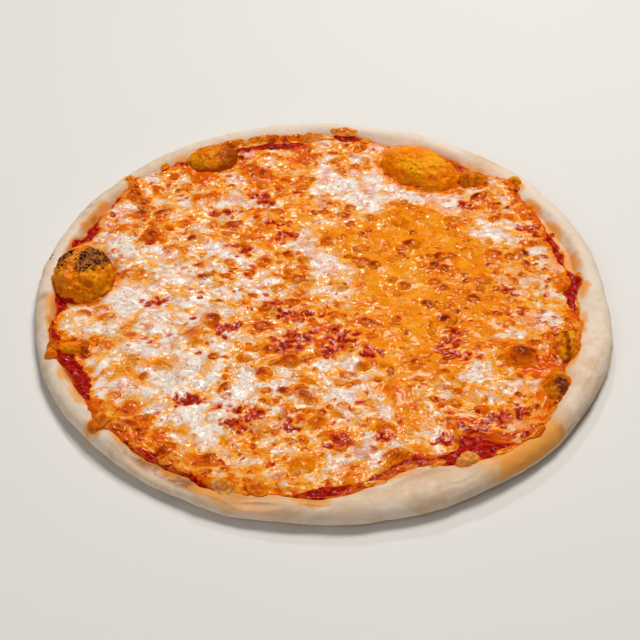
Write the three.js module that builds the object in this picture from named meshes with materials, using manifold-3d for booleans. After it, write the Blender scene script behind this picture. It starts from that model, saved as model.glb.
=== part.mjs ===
// A whole baked pizza with tomato sauce and melted cheese, uncut, as it comes from the oven.
// Millimetres, +Z up. The origin is at the middle of its outline, on the surface that it lies on.
// Directions round the pizza are degrees, counter-clockwise from +X seen from above; -Y is the near side.
//
// Three layers lie on each other: the dough, with its raised rim and the bubbles that baking
// blew up in it, a thin layer of sauce, and the cheese, which stops short of the sauce here and there.
import * as THREE from "three";
import { mergeVertices } from "three/addons/utils/BufferGeometryUtils.js";
import Module from "manifold-3d";

// Driving dimensions
const pizzaRadius = 155;
const toppingRadius = 141; // where the bare rim begins
const baseThickness = 4;
const rimHeight = 12.5;
const crownInset = 7.5; // from the outline in to the highest line of the rim
const footInset = 10; // from the outline in to the edge of the flat underside
const waistShare = 0.42; // height of the widest line of the rim, as a share of the rim's height
const slopeRun = 12; // width of the slope under the topping's border
const slopeRise = 3.5;
const sauceThickness = 1.2;
const cheeseThickness = 2.6;
const cheeseEdgeThickness = 0.8;
const cheeseMargin = 1.5; // of sauce that shows all round the cheese
const layerGap = 0.4;

// Resolution
const rimSegments = 104;
const innerRings = [
  { radius: 50, segments: 20 },
  { radius: 100, segments: 40 },
];
const cheeseRingStep = 5.6;
const largeBubbleSegments = 20;
const smallBubbleSegments = 14;

// Unevenness round the pizza: a smooth swell centred on a direction, its spread in degrees, and its size in mm.
const outlineSwells = [
  { at: 41, spread: 6, by: 3 },
  { at: 62, spread: 9, by: 1 },
  { at: 122, spread: 16, by: 1.5 },
  { at: 205, spread: 24, by: -1.5 },
  { at: 328, spread: 20, by: 1.5 },
  { at: 5, spread: 9, by: -1.5 },
];
const rimBays = [
  { at: 290, spread: 8, by: -12 },
  { at: 340, spread: 9, by: -5 },
  { at: 97, spread: 5, by: -4 },
  { at: 0, spread: 7, by: -2 },
  { at: 170, spread: 26, by: 2 },
  { at: 237, spread: 5, by: -1.5 },
  { at: 312, spread: 6, by: 4 },
];
const rimRises = [
  { at: 42, spread: 6, by: -1.5 },
  { at: 95, spread: 14, by: 1 },
  { at: 222, spread: 9, by: 1.2 },
  { at: 262, spread: 12, by: -0.8 },
  { at: 300, spread: 12, by: 1 },
  { at: 330, spread: 9, by: 1.3 },
  { at: 352, spread: 7, by: -0.8 },
];
// Where topping boiled over the rim
const toppingLobes = [
  { at: 41, spread: 5, by: 11 },
  { at: 139, spread: 3.6, by: 7 },
  { at: 131, spread: 4, by: 4 },
  { at: 221, spread: 3.8, by: 5.5 },
  { at: 197, spread: 4, by: 4 },
  { at: 249, spread: 5, by: 5 },
  { at: 84, spread: 4, by: 6 },
  { at: 4, spread: 2.5, by: 6 },
];
// Where the cheese leaves a wider strip of sauce bare
const sauceBays = [
  { at: 203, spread: 6, by: 11 },
  { at: 184, spread: 3.5, by: 6 },
  { at: 159, spread: 4, by: 8 },
  { at: 103, spread: 7, by: 8 },
  { at: 86, spread: 5, by: 7 },
  { at: 14, spread: 7, by: 9 },
  { at: 0, spread: 5, by: 7 },
  { at: 330, spread: 4, by: 4 },
  { at: 306, spread: 4, by: 21 },
  { at: 285, spread: 8, by: 3 },
  { at: 270, spread: 3, by: 6 },
  { at: 236, spread: 4, by: 6 },
];
// Hollows pressed into the rim: direction, spread along the rim and radius, width across, depth in mm
const rimDents = [
  { at: 243, spread: 5, radius: 147, width: 3.5, depth: 2.6 },
  { at: 290, spread: 7, radius: 137, width: 5, depth: 1.6 },
];
// Bubbles in the dough: middle, half length, half width, height of the top, and turn in degrees
const doughBubbles = [
  { x: -130, y: 10.5, long: 20, wide: 17.5, top: 24, turn: 90 },
  { x: 59, y: 110, long: 26, wide: 17, top: 20, turn: -33 },
  { x: -67, y: 121, long: 15, wide: 12.5, top: 17, turn: 20 },
  { x: 88.5, y: 99, long: 10, wide: 6.5, top: 14, turn: -20 },
  { x: 115.5, y: 96, long: 5.5, wide: 4.5, top: 15.2, turn: 0 },
  { x: -129, y: -43, long: 11, wide: 5.5, top: 12.5, turn: 12 },
  { x: 126, y: -42, long: 10.5, wide: 6.5, top: 14, turn: 74 },
  { x: 117, y: -73, long: 12.5, wide: 7, top: 13.6, turn: 62 },
  { x: 72, y: -123, long: 7, wide: 5, top: 13.5, turn: 40 },
];
const bubbleFloor = 2; // the bubbles' widest level, inside the dough
// Browned lumps in the cheese, largest by hand and the rest scattered by rule
const largeLumps = [
  { x: 101, y: -49, radius: 9, height: 3.4 },
  { x: -62, y: -24, radius: 9, height: 1.6 },
  { x: -96, y: 46, radius: 7, height: 1.8 },
  { x: 51, y: 39, radius: 6, height: 1.4 },
  { x: 70, y: 27, radius: 7, height: 1.6 },
  { x: 19, y: -37, radius: 9, height: 1.8 },
  { x: -16, y: -53, radius: 7, height: 1.6 },
];
const scatteredLumps = 90;
const goldenAngle = Math.PI * (3 - Math.sqrt(5));

const cos = Math.cos;
const sin = Math.sin;
const radians = THREE.MathUtils.degToRad;
const smooth = (t) => THREE.MathUtils.smoothstep(t, 0, 1);
const fraction = (seed) => {
  const value = sin(seed * 12.9898) * 43758.5453;
  return value - Math.floor(value);
};

function degreesBetween(angle, at) {
  const turned = THREE.MathUtils.euclideanModulo((angle * 180) / Math.PI - at + 180, 360);
  return turned - 180;
}

// Sum of the swells of a list in the direction of angle
function swell(list, angle) {
  return list.reduce((sum, one) => {
    const away = degreesBetween(angle, one.at) / one.spread;
    return sum + one.by * Math.exp((-away * away) / 2);
  }, 0);
}

// Gentle waves that keep a baked surface from being even, between about -1 and 1
function waves(x, y, shortest, count) {
  let sum = 0;
  for (let k = 0; k < count; k++) {
    const turn = k * goldenAngle;
    const length = shortest * (1 + 0.35 * k);
    sum += sin(((x * cos(turn) + y * sin(turn)) * 2 * Math.PI) / length + 1.7 * k);
  }
  return (sum * 1.6) / count;
}

// The rim's main radii and height in one direction
function rimAt(angle) {
  const x = pizzaRadius * cos(angle);
  const y = pizzaRadius * sin(angle);
  const outer = pizzaRadius + swell(outlineSwells, angle) + 0.7 * waves(x, y, 48, 5);
  const inner = toppingRadius + swell(rimBays, angle) + 0.8 * waves(y, x, 31, 5);
  const height = rimHeight + swell(rimRises, angle) + 0.5 * waves(x, y, 36, 4);
  return { outer, inner, height, crown: outer - crownInset, foot: outer - footInset };
}

const toppingEdge = (angle) => rimAt(angle).inner + 0.8 + swell(toppingLobes, angle);
const cheeseEdge = (angle) => toppingEdge(angle) - cheeseMargin - swell(sauceBays, angle);

function dentDepth(angle, radius) {
  return rimDents.reduce((sum, dent) => {
    const along = degreesBetween(angle, dent.at) / dent.spread;
    const across = (radius - dent.radius) / dent.width;
    return sum + dent.depth * Math.exp(-(along * along + across * across) / 2);
  }, 0);
}

// Height of the dough's upper side: flat base, slope under the topping's border, then the rounded rim
function doughTop(angle, radius, rim = rimAt(angle)) {
  const shelf = baseThickness + slopeRise;
  const waist = rim.height * waistShare;
  let height;
  if (radius <= rim.inner) {
    height = baseThickness + slopeRise * smooth((radius - rim.inner + slopeRun) / slopeRun);
  } else if (radius <= rim.crown) {
    const share = (radius - rim.inner) / (rim.crown - rim.inner);
    height = shelf + (rim.height - shelf) * sin((share * Math.PI) / 2);
  } else {
    const share = Math.min(1, (radius - rim.crown) / crownInset);
    height = waist + (rim.height - waist) * Math.sqrt(1 - share * share);
  }
  return height - dentDepth(angle, radius);
}

// Height of the cheese above its own underside, without the thinning at its edge
function cheeseRelief(x, y) {
  let height = cheeseThickness + 0.45 * waves(x, y, 19, 9);
  for (const lump of lumps) {
    const away = ((x - lump.x) ** 2 + (y - lump.y) ** 2) / (lump.radius * lump.radius);
    if (away < 1) height += lump.height * (1 - away) ** 1.5;
  }
  return height;
}

function scatterLumps() {
  const reach = toppingRadius - 12;
  const made = [...largeLumps];
  for (let k = 0; k < scatteredLumps; k++) {
    const distance = reach * Math.sqrt((k + 0.5) / scatteredLumps);
    const turn = k * goldenAngle + 0.5 * fraction(k + 1);
    made.push({
      x: distance * cos(turn),
      y: distance * sin(turn),
      radius: 6 + 4 * fraction(k + 201),
      height: 0.5 + 1.2 * fraction(k + 401),
    });
  }
  return made;
}
const lumps = scatterLumps();

// A ring of points round the pizza: radiusOf and heightOf take the direction, heightOf the radius too
function ring(segments, radiusOf, heightOf) {
  return Array.from({ length: segments }, (_, k) => {
    const angle = (k * 2 * Math.PI) / segments;
    const radius = radiusOf(angle);
    return [radius * cos(angle), radius * sin(angle), heightOf(angle, radius)];
  });
}

// Closed skin over rings that run from the middle of the upper side, over the edge, to the middle of the underside.
// Neighbouring rings may have different numbers of points, and a ring of one point is a pole.
function skin(rings) {
  const places = rings.flat(2);
  const faces = [];
  let first = 0;
  for (let k = 0; k + 1 < rings.length; k++) {
    const a = rings[k].length;
    const b = rings[k + 1].length;
    const second = first + a;
    let i = 0;
    let j = 0;
    while (i < a || j < b) {
      const here = first + (i % a);
      const there = second + (j % b);
      const turnFirst = a > 1 && (j >= b || b === 1 || (i < a && (i + 1) * b <= (j + 1) * a));
      if (turnFirst) {
        i++;
        faces.push(here, there, first + (i % a));
      } else {
        j++;
        faces.push(here, there, second + (j % b));
      }
      if ((a === 1 && j >= b) || (b === 1 && i >= a)) break;
    }
    first = second;
  }
  const geometry = new THREE.BufferGeometry();
  geometry.setAttribute("position", new THREE.Float32BufferAttribute(places, 3));
  geometry.setIndex(faces);
  return geometry;
}

const mix = (a, b, share) => a + (b - a) * share;
const pole = (height) => [[0, 0, height]];
const slopeStart = (angle) => rimAt(angle).inner - slopeRun;
const slopeShares = [0, 0.35, 0.68, 1];

// The flat middle of a layer, from the pole out
function flatMiddle(height) {
  const inside = innerRings.map(({ radius, segments }) => ring(segments, () => radius, () => height));
  return [pole(height), ...inside];
}

function doughGeometry() {
  const top = (radiusOf) => ring(rimSegments, radiusOf, (angle, radius) => doughTop(angle, radius));
  const overSteps = [25, 48, 70, 90].map(radians);
  const underSteps = [45, 90].map(radians);
  const slope = slopeShares.map((share) => top((angle) => slopeStart(angle) + slopeRun * share));
  const inside = [0.5, 1].map((share) =>
    top((angle) => mix(rimAt(angle).inner, rimAt(angle).crown, share)),
  );
  const over = overSteps.map((step) => top((angle) => rimAt(angle).crown + crownInset * sin(step)));
  const under = underSteps.map((step) =>
    ring(
      rimSegments,
      (angle) => mix(rimAt(angle).foot, rimAt(angle).outer, cos(step)),
      (angle) => rimAt(angle).height * waistShare * (1 - sin(step)),
    ),
  );
  const upper = [...flatMiddle(baseThickness), ...slope, ...inside, ...over];
  return skin([...upper, ...under, ...flatMiddle(0).reverse()]);
}

// The gap between two layers widens where they bend over the rim, because their facets differ there
function gapAt(angle, radius) {
  const rim = rimAt(angle);
  const beyond = smooth((radius - rim.inner + 2) / 4);
  return layerGap * (1 + beyond);
}

// Underside and top of the sauce above the dough; it thins out over the rim
const sauceUnder = (angle, radius) => doughTop(angle, radius) + gapAt(angle, radius);
const sauceOver = (angle, radius) => {
  const left = (toppingEdge(angle) - radius) / 5;
  return sauceUnder(angle, radius) + sauceThickness * mix(0.5, 1, smooth(left));
};

function sauceGeometry() {
  const spots = [
    ...slopeShares.map((share) => (angle) => slopeStart(angle) + slopeRun * share),
    ...[0.4, 0.8].map((share) => (angle) => mix(rimAt(angle).inner, toppingEdge(angle), share)),
  ];
  const over = spots.map((radiusOf) => ring(rimSegments, radiusOf, sauceOver));
  const under = spots.map((radiusOf) => ring(rimSegments, radiusOf, sauceUnder));
  const edge = ring(rimSegments, toppingEdge, (angle, radius) =>
    mix(sauceUnder(angle, radius), sauceOver(angle, radius), 0.3),
  );
  const floor = baseThickness + layerGap;
  return skin([
    ...flatMiddle(floor + sauceThickness),
    ...over,
    edge,
    ...under.reverse(),
    ...flatMiddle(floor).reverse(),
  ]);
}

const cheeseUnder = (angle, radius) => sauceOver(angle, radius) + gapAt(angle, radius);
const cheeseOver = (angle, radius) => {
  const fullDepth = smooth((cheeseEdge(angle) - radius) / 7);
  const relief = cheeseRelief(radius * cos(angle), radius * sin(angle));
  return cheeseUnder(angle, radius) + mix(cheeseEdgeThickness, relief, fullDepth);
};

function cheeseSegments(radius) {
  if (radius > 96) return rimSegments;
  if (radius > 50) return rimSegments / 2;
  if (radius > 24) return rimSegments / 4;
  return rimSegments / 8;
}

function cheeseGeometry() {
  const count = Math.round(toppingRadius / cheeseRingStep);
  const shares = Array.from({ length: count - 1 }, (_, k) => (k + 1) / count);
  const over = [...shares, 0.985].map((share) =>
    ring(cheeseSegments(share * toppingRadius), (angle) => cheeseEdge(angle) * share, cheeseOver),
  );
  const edge = ring(rimSegments, cheeseEdge, (angle, radius) =>
    mix(cheeseUnder(angle, radius), cheeseOver(angle, radius), 0.4),
  );
  const under = [0.98, 0.96, 0.94, 0.92, 0.9, 0.87].map((share) =>
    ring(rimSegments, (angle) => cheeseEdge(angle) * share, cheeseUnder),
  );
  const middle = pole(cheeseOver(0, 0));
  const floor = cheeseUnder(0, toppingRadius / 2);
  return skin([middle, ...over, edge, ...under, ...flatMiddle(floor).reverse()]);
}

// A bubble, grown on all sides by the given amount
function bubbleGeometry(bubble, grow) {
  const around = bubble.long > 14 ? largeBubbleSegments : smallBubbleSegments;
  const sphere = new THREE.SphereGeometry(1, around, Math.round(around * 0.6));
  sphere.rotateX(Math.PI / 2);
  sphere.scale(bubble.long + grow, bubble.wide + grow, bubble.top - bubbleFloor + grow);
  sphere.rotateZ(radians(bubble.turn));
  sphere.translate(bubble.x, bubble.y, bubbleFloor);
  return sphere;
}

const wasm = await Module();
wasm.setup();

function toSolid(geometry) {
  const bare = geometry.clone();
  bare.deleteAttribute("normal");
  bare.deleteAttribute("uv");
  const merged = mergeVertices(bare, 1e-4);
  return new wasm.Manifold(
    new wasm.Mesh({
      numProp: 3,
      vertProperties: merged.attributes.position.array,
      triVerts: new Uint32Array(merged.index.array),
    }),
  );
}

function toGeometry(solid) {
  const mesh = solid.getMesh();
  const geometry = new THREE.BufferGeometry();
  geometry.setAttribute("position", new THREE.BufferAttribute(mesh.vertProperties, 3));
  geometry.setIndex(new THREE.BufferAttribute(mesh.triVerts, 1));
  return geometry;
}

// A cut can leave a scrap outside a bubble: only the largest body stays
function largestBody(solid) {
  return solid.decompose().reduce((a, b) => (b.volume() > a.volume() ? b : a));
}

// Everything above the middle of the dough's base, which keeps the bubbles off its underside
function aboveTable() {
  const room = new THREE.BoxGeometry(4 * pizzaRadius, 4 * pizzaRadius, pizzaRadius);
  room.translate(0, 0, (pizzaRadius + baseThickness) / 2);
  return toSolid(room);
}

function withBubbles(solid) {
  const above = aboveTable();
  return doughBubbles.reduce(
    (joined, bubble) => joined.add(toSolid(bubbleGeometry(bubble, 0)).intersect(above)),
    solid,
  );
}

// The bubbles push through the sauce and the cheese, which stay a layer's gap off them
function withoutBubbles(solid) {
  const cutters = doughBubbles.map((bubble) => toSolid(bubbleGeometry(bubble, layerGap)));
  return largestBody(cutters.reduce((left, cutter) => left.subtract(cutter), solid));
}

function namedMesh(name, solid, color, roughness) {
  const material = new THREE.MeshStandardMaterial({ color, roughness, metalness: 0 });
  const mesh = new THREE.Mesh(toGeometry(solid), material);
  mesh.name = name;
  return mesh;
}

const pizza = new THREE.Group();
pizza.add(
  namedMesh("crust", withBubbles(toSolid(doughGeometry())), 0xe9d3b4, 0.85),
  namedMesh("tomato_sauce", withoutBubbles(toSolid(sauceGeometry())), 0xa8200e, 0.35),
  namedMesh("melted_cheese", withoutBubbles(toSolid(cheeseGeometry())), 0xf0b060, 0.4),
);

// The origin goes to the middle of the outline
const box = new THREE.Box3().setFromObject(pizza);
const middle = box.getCenter(new THREE.Vector3());
pizza.position.set(-middle.x, -middle.y, -box.min.z);

export default pizza;
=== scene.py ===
# A whole baked cheese and tomato pizza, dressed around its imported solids.
# Lengths are millimetres until makePiece turns them into metres. Directions round the pizza are degrees,
# counter-clockwise from +X seen from above, and -Y is the near side.
import math

import bpy
import numpy as np
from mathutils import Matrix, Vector


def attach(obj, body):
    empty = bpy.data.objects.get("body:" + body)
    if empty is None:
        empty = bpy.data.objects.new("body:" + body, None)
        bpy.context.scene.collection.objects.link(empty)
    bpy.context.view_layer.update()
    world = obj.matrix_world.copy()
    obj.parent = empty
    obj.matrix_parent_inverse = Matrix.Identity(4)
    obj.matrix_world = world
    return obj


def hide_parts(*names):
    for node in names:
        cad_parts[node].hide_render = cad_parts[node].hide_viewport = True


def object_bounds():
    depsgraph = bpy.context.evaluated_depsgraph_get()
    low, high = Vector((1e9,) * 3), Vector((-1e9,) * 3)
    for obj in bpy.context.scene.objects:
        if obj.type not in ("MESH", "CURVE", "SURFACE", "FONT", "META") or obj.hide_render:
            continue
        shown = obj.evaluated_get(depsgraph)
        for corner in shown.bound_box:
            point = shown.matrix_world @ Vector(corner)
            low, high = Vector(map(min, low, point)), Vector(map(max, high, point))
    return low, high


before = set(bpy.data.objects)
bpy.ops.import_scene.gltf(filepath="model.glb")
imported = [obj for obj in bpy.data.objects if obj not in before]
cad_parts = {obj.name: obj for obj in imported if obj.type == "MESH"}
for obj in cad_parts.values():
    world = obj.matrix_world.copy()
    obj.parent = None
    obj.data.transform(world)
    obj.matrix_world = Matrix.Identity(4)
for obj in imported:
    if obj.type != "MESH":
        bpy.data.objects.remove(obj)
cadLow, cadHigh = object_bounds()

mm = 0.001
goldenAngle = math.pi * (3 - math.sqrt(5))

pizza = {
    "radius": 155,
    "toppingRadius": 141,  # where the bare rim begins
    "baseThickness": 4,
    "rimHeight": 12.5,
    "crownInset": 7.5,
    "footInset": 10,
    "waistShare": 0.42,
    "slopeRun": 12,
    "slopeRise": 3.5,
    "sauceThickness": 1.2,
    "cheeseThickness": 2.6,
    "cheeseMargin": 1.5,
    "layerGap": 0.4,
}

# Unevenness round the pizza: direction, spread in degrees, size in mm
outlineSwells = [
    (41, 6, 3), (62, 9, 1), (122, 16, 1.5), (205, 24, -1.5), (328, 20, 1.5), (5, 9, -1.5),
]
rimBays = [
    (290, 8, -12), (340, 9, -5), (97, 5, -4), (0, 7, -2), (170, 26, 2), (237, 5, -1.5), (312, 6, 4),
]
rimRises = [
    (42, 6, -1.5), (95, 14, 1), (222, 9, 1.2), (262, 12, -0.8), (300, 12, 1), (330, 9, 1.3), (352, 7, -0.8),
]
toppingLobes = [
    (41, 5, 11), (139, 3.6, 7), (131, 4, 4), (221, 3.8, 5.5), (197, 4, 4), (249, 5, 5), (84, 4, 6),
    (4, 2.5, 6),
]
sauceBays = [
    (203, 6, 11), (184, 3.5, 6), (159, 4, 8), (103, 7, 8), (86, 5, 7), (14, 7, 9), (0, 5, 7), (330, 4, 4),
    (306, 4, 21), (285, 8, 3), (270, 3, 6), (236, 4, 6),
]
# Hollows in the rim: direction, spread, radius, width across, depth
rimDents = [(239, 7.5, 147.5, 3.8, 4.4), (290, 7, 137, 5, 2.2), (256, 3, 151, 2.5, 1.2)]
# Where the thin edges of sauce and cheese fall short of their solids, or reach past them
sauceShifts = [
    (41, 6, -8), (84, 5, -4), (139, 4, -5), (131, 4, -3), (221, 4, -2), (4, 4, -2), (235, 6, 5.5),
    (302, 5, 6), (329, 6, 2), (343, 5, 1), (335.5, 2, -2), (260, 2, -2), (268, 3, 3), (12, 6, -4),
    (23, 4, -2.5),
]
cheeseShifts = [
    (41, 6, -7), (84, 5, -4), (139, 4, -4), (131, 4, -2), (159, 4, 4), (189, 4, 2), (205, 3, 2), (306, 4, 5),
    (309, 2.6, 4), (312.5, 3.2, 8), (14, 6, 2), (103, 7, 3.5), (90, 3, 4), (234, 6, 9), (246, 5, 0.5),
    (257, 3, 3), (329, 6, 4), (343, 6, 2.5), (335.5, 2, -3), (268, 3, 2), (88, 4, 3),
]


def smooth(t):
    t = np.clip(t, 0, 1)
    return t * t * (3 - 2 * t)


def between(a, b, share):
    return a + (b - a) * share


def scrambled(key):
    # the same number from 0 to 1 for a key on every run
    bits = np.asarray(key).astype(np.int64).astype(np.uint32)
    bits ^= bits >> np.uint32(13)
    bits *= np.uint32(1274126177)
    bits ^= bits >> np.uint32(16)
    bits *= np.uint32(2246822519)
    bits ^= bits >> np.uint32(15)
    return bits / 4294967295.0


def softNoise(coords, seed):
    # smooth noise from -1 to 1 whose features are about one unit wide, in two or three dimensions
    strides = (374761393, 668265263, 1103515245)
    floors = [np.floor(c) for c in coords]
    whole = [f.astype(np.int64) for f in floors]
    parts = [c - f for c, f in zip(coords, floors)]
    eased = [p ** 3 * (p * (p * 6 - 15) + 10) for p in parts]
    total = 0.0
    for corner in range(2 ** len(coords)):
        weight = 1.0
        key = seed * 1274126177
        for axis in range(len(coords)):
            step = corner >> axis & 1
            weight = weight * (eased[axis] if step else 1 - eased[axis])
            key = key + (whole[axis] + step) * strides[axis]
        total = total + weight * scrambled(key)
    return total * 2 - 1


def turned(x, y, turn):
    # the same place along axes that are turned counter-clockwise
    return x * math.cos(turn) + y * math.sin(turn), y * math.cos(turn) - x * math.sin(turn)


def layered(noiseAt, octaves, fade, gain):
    # ever finer noises, each weaker than the one before
    total, weight, strength = 0.0, 0.0, 1.0
    for k in range(octaves):
        total = total + strength * noiseAt(k)
        weight += strength
        strength *= fade
    return total / weight * gain


def cloud(x, y, size, octaves, seed, stretch=1.0, fade=0.55):
    # layered noise over the plane, longer along X where stretch is over 1
    def noiseAt(k):
        finer = size * 0.5 ** k
        u, v = turned(x, y, 0.35 * math.sin(2.4 * k + seed))
        return softNoise([u / (finer * stretch) + 17.3 * k, v / finer - 9.1 * k], seed + 31 * k)
    return layered(noiseAt, octaves, fade, 1.6)


def cloud3(points, size, octaves, seed):
    # layered noise through space
    def noiseAt(k):
        return softNoise([points[..., i] / (size * 0.5 ** k) + 5.7 * k * (i + 1) for i in range(3)], seed + k)
    return layered(noiseAt, octaves, 0.5, 1.5)


def dab(u, v=0.0):
    # a soft spot, 1 in the middle and faded out at about 2
    return np.exp(-u ** 2 - v ** 2)


def scattered(x, y, spots):
    # soft spots, each given as x, y and size
    return sum(dab((x - atX) / size, (y - atY) / size) for atX, atY, size in spots)


# Form of the pizza, as its solids have it

def degreesBetween(angle, at):
    return (np.degrees(angle) - at + 180) % 360 - 180


def swell(swells, angle):
    return sum(by * np.exp(-(degreesBetween(angle, at) / spread) ** 2 / 2) for at, spread, by in swells)


def waves(x, y, shortest, count):
    # a few straight swells that cross each other
    total = 0
    for k in range(count):
        length = shortest * (1 + 0.35 * k)
        total = total + np.sin(turned(x, y, k * goldenAngle)[0] * 2 * math.pi / length + 1.7 * k)
    return total * 1.6 / count


def rimAt(angle):
    x = pizza["radius"] * np.cos(angle)
    y = pizza["radius"] * np.sin(angle)
    outer = pizza["radius"] + swell(outlineSwells, angle) + 0.7 * waves(x, y, 48, 5)
    inner = pizza["toppingRadius"] + swell(rimBays, angle) + 0.8 * waves(y, x, 31, 5)
    height = pizza["rimHeight"] + swell(rimRises, angle) + 0.5 * waves(x, y, 36, 4)
    return outer, inner, height


def toppingEdge(angle):
    return rimAt(angle)[1] + 0.8 + swell(toppingLobes, angle)


def cheeseEdge(angle):
    return toppingEdge(angle) - pizza["cheeseMargin"] - swell(sauceBays, angle)


def doughTop(angle, radius):
    outer, inner, height = rimAt(angle)
    run = pizza["slopeRun"]
    crown = outer - pizza["crownInset"]
    shelf = pizza["baseThickness"] + pizza["slopeRise"]
    waist = height * pizza["waistShare"]
    slope = pizza["baseThickness"] + pizza["slopeRise"] * smooth((radius - inner + run) / run)
    climb = np.clip((radius - inner) / (crown - inner), 0, 1)
    rise = shelf + (height - shelf) * np.sin(climb * math.pi / 2)
    share = np.clip((radius - crown) / pizza["crownInset"], 0, 1)
    fall = waist + (height - waist) * np.sqrt(1 - share ** 2)
    top = np.where(radius <= inner, slope, np.where(radius <= crown, rise, fall))
    for at, spread, middle, width, depth in rimDents:
        along = degreesBetween(angle, at) / spread
        across = (radius - middle) / width
        top = top - depth * np.exp(-(along ** 2 + across ** 2) / 2)
    return top


def gapAt(angle, radius):
    return pizza["layerGap"] * (1 + smooth((radius - rimAt(angle)[1] + 2) / 4))


def sauceUnder(angle, radius):
    return doughTop(angle, radius) + gapAt(angle, radius)


def sauceOver(angle, radius):
    left = (toppingEdge(angle) - radius) / 5
    return sauceUnder(angle, radius) + pizza["sauceThickness"] * between(0.5, 1, smooth(left))


def cheeseUnder(angle, radius):
    return sauceOver(angle, radius) + gapAt(angle, radius)


# Ragged outlines of sauce and cheese, and how they thin out onto what they lie on

def sauceRim(angle):
    edge = toppingEdge(angle) + swell(sauceShifts, angle)
    return edge + 1.2 * cloud(edge * np.cos(angle), edge * np.sin(angle), 9, 3, 93)


def sauceTop(angle, radius):
    inside = np.clip((sauceRim(angle) - radius) / 3.5, 0, 1)
    ground = doughTop(angle, radius) - 0.3
    return between(ground, sauceOver(angle, radius), np.sqrt(1 - (1 - inside) ** 2))


def cheeseRim(angle):
    edge = cheeseEdge(angle) + swell(cheeseShifts, angle)
    x, y = edge * np.cos(angle), edge * np.sin(angle)
    return edge + 0.8 + 2.2 * cloud(x, y, 12, 4, 92, fade=0.58)


# Meshes

def polar(points):
    return np.arctan2(points[..., 1], points[..., 0]), np.hypot(points[..., 0], points[..., 1])


def evenly(count):
    # directions spread evenly all the way round
    return np.arange(count) * 2 * math.pi / count


def pointAt(x, y, height):
    return np.array([[x, y, height]], dtype=float)


def ringOf(angles, radius, height):
    radius = np.broadcast_to(radius, angles.shape)
    height = np.broadcast_to(height, angles.shape)
    return np.stack([radius * np.cos(angles), radius * np.sin(angles), height], axis=-1)


def ringsOver(angles, radii, heightAt):
    return [ringOf(angles, radius, heightAt(angles, radius)) for radius in radii]


def skinOver(rings):
    # closed skin from the middle of the top over the edge to the middle of the underside
    faces = []
    first = 0
    for ring, following in zip(rings, rings[1:]):
        a, b = len(ring), len(following)
        here = first + np.arange(a)
        there = first + a + np.arange(b)
        if a == 1:
            corners = [np.full(b, first), there, np.roll(there, -1)]
        elif b == 1:
            corners = [here, np.full(a, first + a), np.roll(here, -1)]
        else:
            corners = [here, there, np.roll(there, -1), np.roll(here, -1)]
        faces += np.stack(corners, axis=-1).tolist()
        first += a
    return np.concatenate(rings), faces


def joined(skins):
    # several skins as one mesh
    faces = []
    first = 0
    for points, skinFaces in skins:
        faces += [[first + i for i in face] for face in skinFaces]
        first += len(points)
    return np.concatenate([points for points, _ in skins]), faces


boxLow = np.array(cadLow) / mm
boxHigh = np.array(cadHigh) / mm


def makePiece(name, points, faces, material, slot, fields, replaced=None):
    mesh = bpy.data.meshes.new(name)
    mesh.from_pydata((np.clip(points, boxLow, boxHigh) * mm).tolist(), [], faces)
    mesh.polygons.foreach_set("use_smooth", np.ones(len(mesh.polygons), dtype=bool))
    for field, values in fields.items():
        attribute = mesh.attributes.new(field, "FLOAT", "POINT")
        attribute.data.foreach_set("value", np.asarray(values, dtype=np.float32))
    mesh.materials.append(material)
    mesh.validate()
    piece = bpy.data.objects.new(name, mesh)
    bpy.context.scene.collection.objects.link(piece)
    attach(piece, "root")
    if replaced:
        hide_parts(replaced)
    triangles = sum(len(face) - 2 for face in faces)
    print(f"made {name}: {triangles} triangles")
    return piece


# Materials

def tone(red, green, blue):
    # a screen colour from 0 to 255 as the shader wants it
    shares = [c / 255 for c in (red, green, blue)]
    return tuple(c / 12.92 if c <= 0.04045 else ((c + 0.055) / 1.055) ** 2.4 for c in shares) + (1.0,)


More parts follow.
